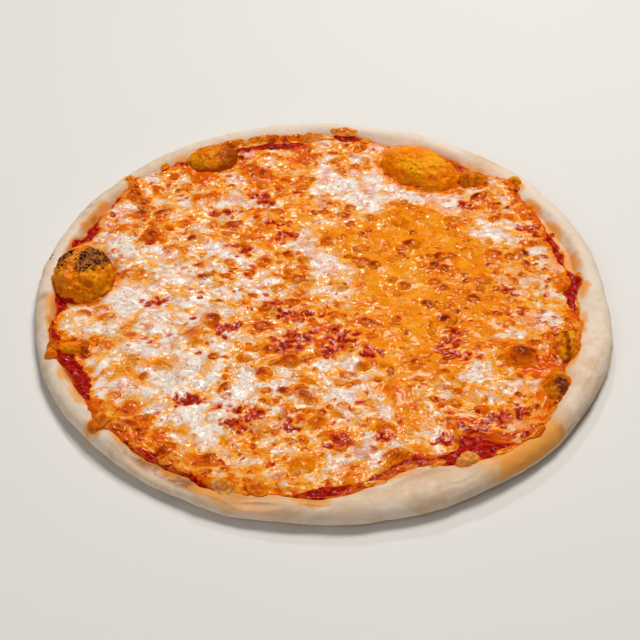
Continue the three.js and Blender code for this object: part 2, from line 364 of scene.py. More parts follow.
class Shading:
    # one material's node tree, with short ways to add what its finish needs. A value is a number, a colour,
    # another node's output or the name of one of the mesh's fields
    def __init__(self, name, settings):
        self.material = bpy.data.materials.new(name)
        self.material.use_nodes = True
        self.tree = self.material.node_tree
        self.shader = self.tree.nodes["Principled BSDF"]
        for socket, value in settings.items():
            self.plug(value, self.shader.inputs[socket])
        self.place = self.add("TexCoord", "Object", {})
        self.colour = None  # what has been painted so far

    def plug(self, value, socket):
        if isinstance(value, str):
            value = self.add("Attribute", "Fac", {}, attribute_name=value)
        if isinstance(value, (int, float, tuple)):
            socket.default_value = value
        elif value is not None:
            self.tree.links.new(value, socket)

    def add(self, kind, output, inputs, **choices):
        node = self.tree.nodes.new("ShaderNode" + kind)
        for choice, value in choices.items():
            setattr(node, choice, value)
        for socket, value in inputs.items():
            self.plug(value, node.inputs[socket])
        return node.outputs[output]

    def noise(self, size, detail=3.0, rough=0.55, warp=0.0, stretch=1.0):
        # size is in mm, longer along X where stretch is over 1
        place = self.add("Mapping", "Vector", {"Vector": self.place, "Scale": (1 / stretch, 1, 1)})
        return self.add("TexNoise", "Fac", {"Vector": place, "Scale": 1 / (size * mm), "Detail": detail,
                                            "Roughness": rough, "Distortion": warp})

    def cells(self, size):
        return self.add("TexVoronoi", "Distance", {"Vector": self.place, "Scale": 1 / (size * mm)})

    def product(self, a, b):
        return self.add("Math", "Value", {0: a, 1: b}, operation="MULTIPLY")

    def sum(self, a, b, share=1.0):
        # a plus share times b
        return self.add("Math", "Value", {0: b, 1: share, 2: a}, operation="MULTIPLY_ADD")

    def ragged(self, value, grain, amount):
        # value, made uneven by a grain that lies about 0.5
        return self.sum(self.sum(value, grain, amount), -0.5 * amount)

    def threads(self, size, width, warp=0.8, stretch=1.0):
        # thin winding lines, 1 on a line and 0 off it
        middle = self.sum(self.noise(size, 3, 0.6, warp, stretch), -0.5)
        return self.mask(self.add("Math", "Value", {0: middle}, operation="ABSOLUTE"), width, 0.0)

    def mask(self, value, low, high, top=1.0):
        # rises softly from 0 at low to top at high
        sockets = {"Value": value, "From Min": low, "From Max": high, "To Max": top}
        return self.add("MapRange", "Result", sockets, interpolation_type="SMOOTHSTEP")

    def range(self, value, first, last, low=0.0, high=1.0):
        return self.add("MapRange", "Result", {"Value": value, "From Min": low, "From Max": high,
                                               "To Min": first, "To Max": last})

    def ramp(self, value, low, high, stops):
        # stops are pairs of a share of the way from low to high and its colour
        node = self.tree.nodes.new("ShaderNodeValToRGB")
        marks = node.color_ramp.elements
        while len(marks) < len(stops):
            marks.new(0.5)
        for mark, (share, colour) in zip(marks, stops):
            mark.position = share
            mark.color = colour
        self.plug(self.range(value, 0, 1, low, high), node.inputs["Fac"])
        return node.outputs["Color"]

    def lay(self, colour, share):
        self.colour = self.add("Mix", 2, {"Factor": share, 6: self.colour, 7: colour}, data_type="RGBA")

    def paint(self, colour, value, low, high, top=1.0):
        self.lay(colour, self.mask(value, low, high, top))

    def bump(self, height, depth, below=None):
        # depth is in mm
        return self.add("Bump", "Normal", {"Height": height, "Distance": depth * mm, "Normal": below})

    def finish(self, roughness=None, normal=None, coatNormal=None):
        self.plug(self.colour, self.shader.inputs["Base Color"])
        self.plug(roughness, self.shader.inputs["Roughness"])
        self.plug(normal, self.shader.inputs["Normal"])
        self.plug(coatNormal, self.shader.inputs["Coat Normal"])
        return self.material


# Crust

crust = {
    "around": 1000,
    # rings of the underside, in shares of the foot's radius
    "underside": (0.985, 0.96, 0.92, 0.86, 0.78, 0.68, 0.56, 0.42, 0.28, 0.14),
    # noises: size in mm, detail, roughness
    "patches": (24, 5, 0.55),
    "blotches": (8, 4, 0.6),
    "grain": (1.1, 4, 0.65),
    "shader": {
        "Subsurface Weight": 0.1, "Subsurface Scale": 0.002, "Subsurface Radius": (1.0, 0.6, 0.35),
        "Specular IOR Level": 0.2,
    },
    "cream": tone(232, 211, 190),
    "beige": tone(219, 190, 160),
    "flour": tone(236, 224, 210),
    "gold": tone(238, 168, 86),
    "toast": tone(186, 122, 60),
    # brown of the rim's lower part: its bake, and painted shade under the rim's curve
    "brown": tone(166, 112, 66),
    "stain": tone(238, 164, 76),
    "oil": tone(206, 120, 34),
    # colour of the painted shade on the rim
    "rimShade": tone(164, 104, 48),
    "char": tone(60, 38, 26),
    # direction, spread, strength
    "goldAt": [
        (307, 6, 0.8), (315, 4, 0.7), (48, 5, 0.35), (122, 5, 0.2), (253, 4, 0.5), (260, 4, 0.35),
        (272, 6, 0.2),
    ],
    "toastAt": [(318.5, 2, 0.5), (330, 3, 0.25), (250, 3, 0.3)],
    # painted shade where the rim dips and beside the charred bubble
    "rimShadeAt": [
        (153, 4, 0.6), (236, 6, 1.2), (244.5, 4, 1.1), (290, 6, 0.6), (338, 4, 0.3), (182.5, 1.6, 0.8),
    ],
    "flourAt": [(358, 16, 0.5), (25, 14, 0.7), (60, 14, 0.8), (85, 14, 1.0), (110, 12, 0.7), (205, 14, 0.5)],
    "marksAt": [(-150, 25, 1.7), (-149, 28, 1.2), (-151, 22, 1.0)],  # scorched marks: x, y, size
    "wrinkledAt": [(262, 13, 1.0), (235, 8, 0.6), (335, 10, 0.5), (300, 12, 0.4)],
}


def crustMaterial():
    s = Shading("baked_dough", crust["shader"])
    patchy = s.noise(*crust["patches"])
    middling = s.noise(*crust["blotches"])
    grain = s.noise(*crust["grain"])
    s.colour = crust["cream"]
    s.paint(crust["beige"], patchy, 0.38, 0.64)
    # brown painted over the lower part of the rim: the bake of its foot, and painted shade under the rim's
    # curve
    s.paint(crust["brown"], s.ragged(s.ragged("low", patchy, 0.8), grain, 0.6), 0.35, 1.1, 0.9)
    s.paint(crust["gold"], s.ragged("gold", middling, 0.6), 0.2, 0.85)
    s.paint(crust["toast"], s.ragged("toast", middling, 0.7), 0.35, 0.8, 0.8)
    # painted shade in the rim's hollows and beside the charred bubble
    s.paint(crust["rimShade"], s.ragged("rimShade", middling, 0.4), 0.2, 1.1, 0.9)
    flour = s.sum(s.sum(s.sum(middling, grain, 0.4), "gold", -0.6), "flour", 0.22)
    s.paint(crust["flour"], flour, 0.62, 0.9, 0.6)
    s.paint(crust["beige"], grain, 0.58, 0.74, 0.25)
    stain = s.ragged("stain", middling, 0.7)
    s.paint(crust["stain"], stain, 0.05, 0.85, 0.9)
    s.paint(crust["oil"], stain, 0.85, 1.2, 0.7)
    s.paint(crust["char"], s.ragged("spots", s.noise(4, 3, 0.5), 0.6), 0.5, 0.9)
    # the underside is baked in patches, with scorched spots
    s.lay(crust["toast"], s.product("under", s.mask(s.noise(20, 5, 0.6), 0.4, 0.66, 0.7)))
    s.lay(crust["char"], s.product("under", s.mask(s.noise(8, 4, 0.6), 0.58, 0.7, 0.85)))
    return s.finish(s.range("stain", 0.85, 0.5), s.bump(grain, 0.1, s.bump(middling, 0.45)))


def makeCrust():
    angles = evenly(crust["around"])
    outer, inner, height = rimAt(angles)
    crown = outer - pizza["crownInset"]
    foot = outer - pizza["footInset"]
    base = pizza["baseThickness"]
    rings = [pointAt(0, 0, base - 1.0)]
    rings += [ringOf(angles, radius, base - 0.5) for radius in (60, 105)]
    radii = [inner - pizza["slopeRun"] * (1 - share) for share in np.linspace(0, 1, 12)]
    radii += [between(inner, crown, share) for share in np.linspace(0, 1, 18)[1:]]
    radii += [crown + pizza["crownInset"] * math.sin(turn) for turn in np.radians(np.linspace(0, 90, 26)[1:])]
    rings += ringsOver(angles, radii, doughTop)
    for turn in np.radians(np.linspace(0, 90, 18)[1:]):
        radius = between(foot, outer, math.cos(turn))
        rings.append(ringOf(angles, radius, height * pizza["waistShare"] * (1 - math.sin(turn))))
    rings += [ringOf(angles, foot * share, 0.0) for share in crust["underside"]]
    rings.append(pointAt(0, 0, 0))
    points, faces = skinOver(rings)

    angle, radius = polar(points)
    outerHere, innerHere, heightHere = rimAt(angle)
    onRim = smooth((radius - innerHere + 4) / 6)
    onFace = smooth((radius - outerHere + 7) / 4)
    lumps = 0.55 * cloud3(points, 24, 3, 5) + 0.22 * cloud3(points, 7, 2, 9)
    wrinkled = swell(crust["wrinkledAt"], angle)
    lines = softNoise([np.degrees(angle) / 6 + 0.4 * lumps, radius / 1.7 + points[:, 2] / 1.9 + lumps], 23)
    lumps = lumps - 0.8 * wrinkled * np.abs(lines)
    # fine lines left along the outer face by the rolling of the edge
    acrossLines = points[:, 2] / 0.9 + radius / 1.3 + 2 * lumps
    striped = softNoise([np.degrees(angle) / 7 + 3 * lumps, acrossLines], 29)
    lumps = lumps + 0.14 * striped * onFace
    # pushed out from the line that runs through the middle of the rim
    away = points - ringOf(angle, outerHere - 8, heightHere * 0.45)
    away = away / np.maximum(np.linalg.norm(away, axis=-1, keepdims=True), 1e-6)
    underside = smooth((1.2 - points[:, 2]) / 1.2)
    points = points + away * (lumps * onRim * (1 - underside))[:, None]
    points[:, 2] += underside * 0.35 * (1 + cloud3(points, 16, 3, 14)).clip(0, 2)

    x, y, z = points.T
    past = np.maximum(radius - sauceRim(angle), 0)
    # browner towards the foot of the rim, for its bake and as painted shade under its curve
    low = smooth((heightHere * 0.5 - z) / (heightHere * 0.5)) * 0.9 + 0.22 * striped * onFace
    onCrown = smooth((radius - innerHere + 1) / 4) * smooth((z - 5) / 3.5)
    fields = {
        "stain": np.maximum(np.exp(-past / 0.8), read(soakedOil, x, y)) * (z > 2),
        "low": between(low, 0.35, underside),
        "gold": swell(crust["goldAt"], angle) * onCrown,
        "toast": swell(crust["toastAt"], angle) * onCrown,
        "rimShade": swell(crust["rimShadeAt"], angle) * smooth(1 - np.abs(radius - innerHere - 7) / 8),
        "spots": 0.9 * scattered(x, y, crust["marksAt"]),
        "flour": swell(crust["flourAt"], angle),
        "under": underside,
    }
    return makePiece("baked_crust", points, faces, crustMaterial(), "dough", fields, "crust")


# Sauce

sauce = {
    "around": 1000,
    # noises: size in mm, detail, roughness
    "lumps": (2.6, 4, 0.6),
    "grain": (0.9, 3, 0.65),
    "shader": {
        "Subsurface Weight": 0.1, "Subsurface Scale": 0.001, "Subsurface Radius": (1.0, 0.25, 0.1),
        "Coat Weight": 0.16, "Coat Roughness": 0.12, "Specular IOR Level": 0.05,
    },
    "red": tone(188, 26, 12),
    "deep": tone(132, 10, 6),
    "pulp": tone(218, 78, 44),
    "oil": tone(214, 96, 8),
    "amber": tone(208, 116, 44),
}


def sauceMaterial():
    s = Shading("tomato_sauce", sauce["shader"])
    pulp = s.noise(*sauce["lumps"])
    fine = s.noise(*sauce["grain"])
    s.colour = sauce["deep"]
    s.paint(sauce["red"], s.sum(pulp, fine, 0.6), 0.7, 0.88)
    s.paint(sauce["pulp"], s.sum(pulp, fine), 1.04, 1.24, 0.8)
    here = s.mask(s.noise(9, 3, 0.6), 0.42, 0.58)
    s.lay(sauce["oil"], s.product(s.mask(s.ragged("rim", s.noise(5, 4, 0.6), 0.9), 0.25, 0.7), here))
    s.lay(sauce["amber"], s.product(s.mask(s.ragged("edge", pulp, 0.6), 0.4, 0.9), here))
    return s.finish(s.range(pulp, 0.4, 0.55), s.bump(fine, 0.2, s.bump(pulp, 0.8)))


def makeSauce():
    angles = evenly(sauce["around"])
    edge = sauceRim(angles)
    floor = pizza["baseThickness"] + pizza["layerGap"]

    def belowTop(angle, radius):
        return np.minimum(sauceUnder(angle, radius), sauceTop(angle, radius)) - 0.35

    above = [pointAt(0, 0, floor + 0.6)]
    above += [ringOf(angles, edge * share, floor + 0.6) for share in (0.4, 0.7)]
    insets = [*np.linspace(38, 2, 34), 1.4, 0.9, 0.45, 0.15, 0]
    above += ringsOver(angles, [edge - inset for inset in insets], sauceTop)
    below = ringsOver(angles, [edge - inset for inset in (1, 3, 6, 10, 16, 24, 34)], belowTop)
    points, faces = skinOver([*above, *below, pointAt(0, 0, floor - 0.2)])
    angle, radius = polar(points)
    top = np.arange(len(points)) < sum(len(ring) for ring in above)
    inset = sauceRim(angle) - radius
    x, y, z = points.T
    lumps = 0.6 * cloud(x, y, 5, 4, 61) + 0.5 * cloud(x, y, 2, 2, 62)
    points[:, 2] = z + smooth(inset / 2.5) * top * lumps * 0.8
    # orange oil along the crust, wider where the cheese comes close to it
    setBack = toppingEdge(angle) - cheeseEdge(angle)
    oilWidth = 0.4 + 4.5 * (1 - smooth((setBack - 3) / 3))
    fields = {"rim": 1 - smooth((inset - oilWidth) / 1.5), "edge": 1 - smooth(inset / 1.2)}
    return makePiece("sauce_layer", points, faces, sauceMaterial(), "tomato_sauce", fields, "tomato_sauce")


bubbles = {
    # look, depth of the folds, x, y, half length, half width, height of the top, turn
    "places": [
        ("charred", 0.11, -130, 10.5, 20, 17.5, 24, 90),
        ("golden", 0.05, 59, 110, 27.5, 17.5, 20, -33),
        ("browned", 0.05, -66, 120.5, 18, 13, 16, 18),
        ("brown", 0.05, 88.5, 99, 10, 6.5, 14, -20),
        ("browned", 0.05, 114, 95, 6.5, 4.8, 13.8, -30),
        ("underHook", 0.05, -131, -43.5, 11, 5, 11.8, 14),
        ("streaked", 0.16, 127, -42, 12.5, 8.6, 16.4, 74),
        ("capped", 0.12, 118, -73, 14, 9, 16.2, 62),
        ("plain", 0.08, 69, -122, 8, 6.6, 16.4, 32),
    ],
    "fullness": {"charred": 0.8},  # under 1 is fuller than an ellipsoid
    "floor": 2,
    "fields": ("mustard", "brown", "char", "plain", "red", "pale", "spots"),
    # scorched spots on the golden one, from its middle: x, y, size
    "goldenSpots": [(8, 14, 1.6), (15, -3, 1.3), (-6, -9, 0.8), (0, 10, 0.9), (11, 2, 0.8), (17, 3, 0.7)],
    "shader": {
        "Subsurface Weight": 0.08, "Subsurface Scale": 0.0015, "Subsurface Radius": (1.0, 0.5, 0.2),
        "Coat Weight": 0.2, "Coat Roughness": 0.16, "Specular IOR Level": 0.05,
    },
    # noises: size in mm, detail, roughness, warp
    "mottle": (3.4, 4, 0.6, 0.4),
    "grain": (1.2, 3, 0.6),
    "creases": (2.8, 3, 0.6, 1.5),
    "gold": tone(252, 172, 4),
    "orange": tone(252, 142, 2),
    "mustard": tone(222, 142, 12),
    "brown": tone(158, 66, 6),
    "strand": tone(244, 142, 92),
    "ash": tone(138, 80, 52),
    "char": tone(34, 18, 18),
    "dough": tone(248, 168, 84),
}


# Topping: a map of the cheese seen from above, which its meshes read their relief and colour from

topping = {
    "reach": 157,
    "cell": 0.4,
    "seed": 5,
    "curds": 2600,
    "browned": 2600,
    "tears": 620,
    # x, y and radius of the patches where the cheese lies thick and white
    "thickAt": [
        (-75, 43, 18), (-88, 25, 18), (-107, 2, 20), (-110, -20, 17), (-58, 0, 16), (-73, -16, 10),
        (-70, -48, 22), (-57, -59, 20), (-46, -68, 14), (20, 95, 22), (9, 79, 15), (27, 84, 15), (7, 110, 11),
        (57, 82, 14), (70, 75, 11), (-11, 36, 13), (5, 25, 13), (-7, 14, 13), (-43, 29, 10), (102, 84, 10),
        (109, 48, 12), (118, -18, 7), (-11, -75, 15), (-25, -82, 11), (16, -59, 12), (11, -82, 11),
        (-57, -98, 9), (-102, 95, 11), (-93, 79, 13), (-52, 79, 11), (-113, 52, 12), (-86, -57, 13),
        (-60, 20, 14), (-30, 2, 12), (2, -10, 9), (-68, -88, 8), (96, 58, 9), (113, 26, 10), (94, -64, 9),
        (80, -60, 9), (57, -79, 10), (98, -100, 9), (8, -120, 8), (92, 44, 9), (110, 4, 7), (84, -80, 8),
        (100, -30, 8),
    ],
    # more of them near the border: direction, distance and radius
    "paleBorder": [
        (187, 128, 9), (192, 124, 10), (191.5, 134, 6), (205, 124, 8), (212, 131, 5), (216, 122, 6),
        (225, 134, 6), (231, 121, 7), (236, 128, 5), (243, 122, 5), (250, 134, 5), (256, 124, 7),
        (262, 128, 7), (273, 118, 6), (283, 114, 7), (290, 117, 6), (297, 127, 5), (303, 118, 5),
        (311, 147, 5), (318, 131, 6), (327, 119, 5), (338, 135, 4), (345, 124, 6), (352, 125, 9),
        (358, 132, 6), (6, 118, 8), (12, 131, 6), (17, 121, 9), (26, 125, 8), (34, 131, 6), (46, 124, 8),
        (49, 131, 6), (52, 118, 7), (78, 119, 11), (84, 118, 10), (97, 133, 5), (103, 131, 6), (109, 134, 4),
        (118, 116, 6), (128, 136, 7), (133, 126, 9), (138, 133, 7), (143, 121, 8), (149, 130, 8),
        (155, 124, 9), (161, 131, 8), (165, 121, 9),
    ],
    # browned drips and lobes along the border, with the hook of them at 198 degrees: direction, distance past
    # the sauce's edge, half length along the rim, half width across it, height and how far it has browned
    "dripsAt": [
        (222.4, 3.6, 3.8, 3.4, 2.2, 0.4), (223.4, -0.6, 3.2, 4, 1.6, 0.4), (226, -4, 4, 3.2, 1, 0.6),
        (200.6, 1.6, 3.6, 3.6, 2.4, 0.3), (198.6, -1.6, 3.2, 4, 2.6, 0.1), (197.2, -6.6, 3, 4.2, 2.4, 0.1),
        (196.6, -12, 3, 4, 2.2, 0.15), (198.4, -16.6, 3.6, 3, 2, 0.3), (201, -16.4, 2.8, 2.6, 1.6, 0.8),
        (139.8, 2.6, 2.7, 3.4, 1.5, 0.45), (140.7, -1, 2.3, 3.4, 1.6, 0.35),
        (142.2, -6.4, 2.2, 3.6, 1.4, 0.45), (143.7, -12, 2.2, 3.6, 1.2, 0.5), (145.4, -18, 2.4, 3.6, 1, 0.5),
        (134, 0.2, 3.2, 2, 1.2, 0.25), (130.8, 0.4, 2.8, 2, 1.2, 0.35), (38.2, 0, 3.4, 3.2, 1.2, 0.5),
        (30.5, 0.6, 2.8, 1.8, 1, 0.3), (257.6, 0.6, 5.4, 4.8, 1.2, 0.5), (251.4, -1.6, 5, 3.4, 0.7, 0.3),
        (307, -1.4, 6, 3, 1.3, 0.15), (313.4, -1.2, 5.4, 3, 1.2, 0.2), (238, -3, 4, 3, 0.9, 0.45),
        (318.4, -0.4, 3.2, 2.4, 1, 0.3), (321.6, -0.6, 3.4, 2, 1, 0.3), (325, -0.4, 3, 1.8, 1, 0.35),
        (294.5, -0.7, 4.2, 1.5, 0.8, 0.2), (288, -0.9, 6, 1.6, 0.8, 0.15), (280.4, -0.7, 5.4, 1.6, 0.8, 0.15),
        (112.6, 1.4, 9.5, 3, 1.3, 0.3), (105.6, 1, 11, 2.9, 1.3, 0.25), (98, 0.6, 11, 2.6, 1.2, 0.3),
        (91, 0.9, 10, 2.8, 1.3, 0.3), (84.4, 0.4, 9, 2.5, 1.2, 0.35), (79, -2.6, 2.8, 3.2, 1.2, 0.3),
        (14, -0.2, 3.4, 1.3, 0.8, 0.3), (20.6, 1, 2, 1.1, 0.8, 0.95), (5.2, -0.2, 2.8, 1.5, 0.8, 0.25),
        (349, -0.2, 4.4, 1.5, 0.9, 0.4), (356, -0.4, 3.6, 1.3, 0.8, 0.3),
    ],
    # pale gold oil soaked into the crust: direction, distance past the sauce's edge, half length along the
    # rim, half width across it, strength
    "soakedAt": [
        (213, 1.8, 10, 5.2, 0.8), (206.5, 1.2, 10, 5, 0.8), (191, 0, 9, 3.6, 1), (228, 0, 8, 3.2, 0.8),
        (268, 0.6, 11, 4, 0.9), (258, 2, 12, 4, 0.7), (156, 0.6, 12, 3.6, 0.9), (151, 1.4, 6, 4, 0.7),
        (184.5, 1.2, 9, 4.8, 0.8), (21, 1.8, 13, 4.4, 0.75), (11, 2.4, 14, 4.8, 0.8), (1, 1.4, 10, 4.2, 0.75),
        (31, 0.8, 9, 3.4, 0.8), (100, 0.2, 16, 3, 0.7), (309, 0.6, 14, 3.4, 0.8), (317, 0.6, 7, 3, 0.8),
        (350, 0.2, 10, 3, 0.7), (338, 0.4, 10, 3.2, 0.7), (329, 0.4, 8, 3.2, 0.6), (222.6, 4, 5.6, 5.4, 0.8),
        (139.8, 3, 4.6, 5, 0.8), (38.2, 1.6, 5.4, 5, 0.8), (249, 1, 10, 4.4, 0.8), (240, 0.4, 7, 3.4, 0.6),
        (285, 0, 14, 2.2, 0.6), (126, 1, 8, 3, 0.5), (50, 1, 9, 3, 0.6), (64, 1, 10, 3, 0.5),
    ],
    # where the white is hardly browned
    "calmAt": [
        (14, 90, 20), (-72, -68, 15), (-104, 0, 10), (48, 84, 9), (-40, 8, 8), (2, 24, 9), (-93, -42, 8),
    ],
    # where orange oil has pooled
    "oilyAt": [
        (48, 63, 15), (34, 57, 15), (57, 52, 17), (77, 37, 14), (82, 22, 14), (66, 9, 20), (48, 2, 20),
        (34, -11, 17), (39, -34, 17), (48, -48, 17), (36, -58, 13), (44, -92, 9), (57, -25, 17), (22, 36, 13),
        (-25, 52, 13), (-16, 63, 11), (84, -16, 15), (73, -34, 12), (60, 34, 18), (63, -60, 9), (30, 20, 14),
        (14, 46, 12), (-9, -122, 8), (88, -62, 7),
    ],
    # where the sauce shows through
    "tornAt": [
        (-54, 68, 3.4), (-34, 84, 4.5), (-33, 78, 3.5), (-25, 59, 4.5), (-19, 48, 4), (-50, -29, 5.5),
        (-16, -18, 5), (-25, -9, 3.4), (-11, -37, 6), (-20, -41, 4), (11, -35, 6), (8, -41, 4.5),
        (25, -48, 4.5), (68, -39, 4.5), (70, -48, 4.5), (61, -45, 3), (70, -31, 3), (-39, -88, 5.5),
        (-44, -98, 4.5), (-34, -91, 4), (-69, -79, 5), (-16, -98, 4), (9, -107, 5), (95, -104, 4),
        (102, 2, 3), (-43, 34, 3), (-64, -80, 4), (31, -104, 3.5), (-62, 68, 2.5), (3, -46, 3), (117, 52, 5),
        (84, 74, 3), (-90, -8, 4), (72, -98, 6), (84, -92, 5), (98, -88, 4), (60, -106, 4),
    ],
    # x, y, radius and how far it has browned, of the blisters that stand out
    "blisterAt": [
        (-96, 46, 5, 0.85), (66, 29, 4.2, 1), (71.5, 29, 3.4, 1), (62, 21.5, 3.6, 1),
        (51, 40, 4.4, 0.9), (23, 24, 4.6, 0.8), (29, 21.5, 3.6, 0.85), (3, 42, 3.8, 0.7),
        (16, 72.5, 3.8, 0.75), (16, 58, 3, 0.8), (-32, 25, 4.6, 0.65), (-40, 16, 3.4, 0.6),
        (-51, 24, 3.6, 0.5), (-59, -23, 5.4, 0.85), (-67, -34, 6.5, 0.5), (-29, -62, 4.6, 0.75),
        (-16, -53, 4.8, 0.9), (67, -21.5, 4.6, 0.95), (103, -50, 7.5, 0.85), (108, -47, 4, 0.9),
        (97, -55, 3.4, 0.6), (-73, 100, 5, 0.4), (-34, 105, 4.6, 0.8), (-43, 111, 4.4, 0.7),
        (-8, 119, 6, 0.55), (11, 107, 4, 0.5), (49, 93, 4.8, 0.6), (59, 95, 4.6, 0.75), (108, 101, 4, 0.5),
        (113, 84, 4.2, 0.75), (-94, -99, 5.2, 0.75), (-63.5, 82, 4.6, 0.55), (-109, 82, 4.8, 0.75),
        (-107, 77, 4, 0.7), (-80, 92, 4, 0.4), (12, -63, 3.6, 0.4), (-104, -77, 4, 0.5), (-72, 50, 3.4, 0.4),
        (44, 30, 3.2, 0.75), (-9, -122, 6, 0.2),
    ],
}
# Lumps, as the solid has them: x, y, radius, height
largeLumps = [
    (101, -49, 9, 3.4), (-62, -24, 9, 1.6), (-96, 46, 7, 1.8), (51, 39, 6, 1.4), (70, 27, 7, 1.6),
    (19, -37, 9, 1.8), (-16, -53, 7, 1.6),
]


def fraction(seed):
    # the solids' own scatter: the same number from 0 to 1 for a seed on every run
    value = math.sin(seed * 12.9898) * 43758.5453
    return value - math.floor(value)


def placeAt(distance, turn):
    # x and y at a distance from the middle, in a direction given in radians
    return distance * math.cos(turn), distance * math.sin(turn)


def scatteredLumps(count=90):
    reach = pizza["toppingRadius"] - 12
    for k in range(count):
        turn = k * goldenAngle + 0.5 * fraction(k + 1)
        size = 6 + 4 * fraction(k + 201)
        yield *placeAt(reach * math.sqrt((k + 0.5) / count), turn), size, 0.5 + 1.2 * fraction(k + 401)


def cheeseRelief(x, y):
    height = pizza["cheeseThickness"] + 0.45 * waves(x, y, 19, 9)
    for lumpX, lumpY, size, rise in [*largeLumps, *scatteredLumps()]:
        away = ((x - lumpX) ** 2 + (y - lumpY) ** 2) / size ** 2
        height = height + rise * np.clip(1 - away, 0, 1) ** 1.5
    return height


def patches(x, y, spots):
    return np.minimum(scattered(x, y, spots), 1)


mapLine = np.arange(-topping["reach"], topping["reach"] + 0.01, topping["cell"])
mapX, mapY = np.meshgrid(mapLine, mapLine)


def mapWindow(low, high):
    cells = (np.array([low, high]) + topping["reach"]) / topping["cell"]
    return slice(max(int(cells[0]), 0), min(int(cells[1]) + 2, len(mapLine)))


def ovalAt(place, x, y, size, stretch, turn):
    # the window of the map round an oval, and where its points lie in shares of the oval's half axes
    grow = size * stretch + 3
    window = mapWindow(y - grow, y + grow), mapWindow(x - grow, x + grow)
    along, across = turned(place[0][window] - x, place[1][window] - y, turn)
    return window, along / (size * stretch), across / size


def stamp(layer, place, x, y, size, strength, stretch=1.0, turn=0.0, hardness=1.0, adds=False):
    # presses one soft oval into a layer; place is the map's x and y, bent a little
    window, along, across = ovalAt(place, x, y, size, stretch, turn)
    oval = strength * np.clip(1 - along ** 2 - across ** 2, 0, 1) ** hardness
    part = layer[window]
    if adds:
        part += oval
    else:
        np.maximum(part, oval, out=part)


def ring(layer, place, x, y, size, strength, stretch, turn, heavySide):
    # draws an oval's outline, about 0.4 mm wide and heavier on one side: a browned edge, with painted shade
    # on its heavier side
    window, along, across = ovalAt(place, x, y, size, stretch, turn)
    away = (np.hypot(along, across) - 0.92) * size / 0.38
    side = 0.55 + 0.45 * np.cos(np.arctan2(across, along) - heavySide)
    np.maximum(layer[window], strength * side * np.exp(-away ** 2), out=layer[window])


def read(layer, x, y):
    # value of a layer at any places, between the map's points
    last = len(mapLine) - 1.001
    u = np.clip((x + topping["reach"]) / topping["cell"], 0, last)
    v = np.clip((y + topping["reach"]) / topping["cell"], 0, last)
    column, row = u.astype(int), v.astype(int)
    u, v = u - column, v - row
    near = between(layer[row, column], layer[row, column + 1], u)
    far = between(layer[row + 1, column], layer[row + 1, column + 1], u)
    return between(near, far, v)


def warped(reach, size, octaves, seed):
    # the map's places, each shifted by up to about the reach
    x = mapX + reach * cloud(mapX, mapY, size, octaves, seed)
    return x, mapY + reach * cloud(mapX, mapY, size, octaves, seed + 1)


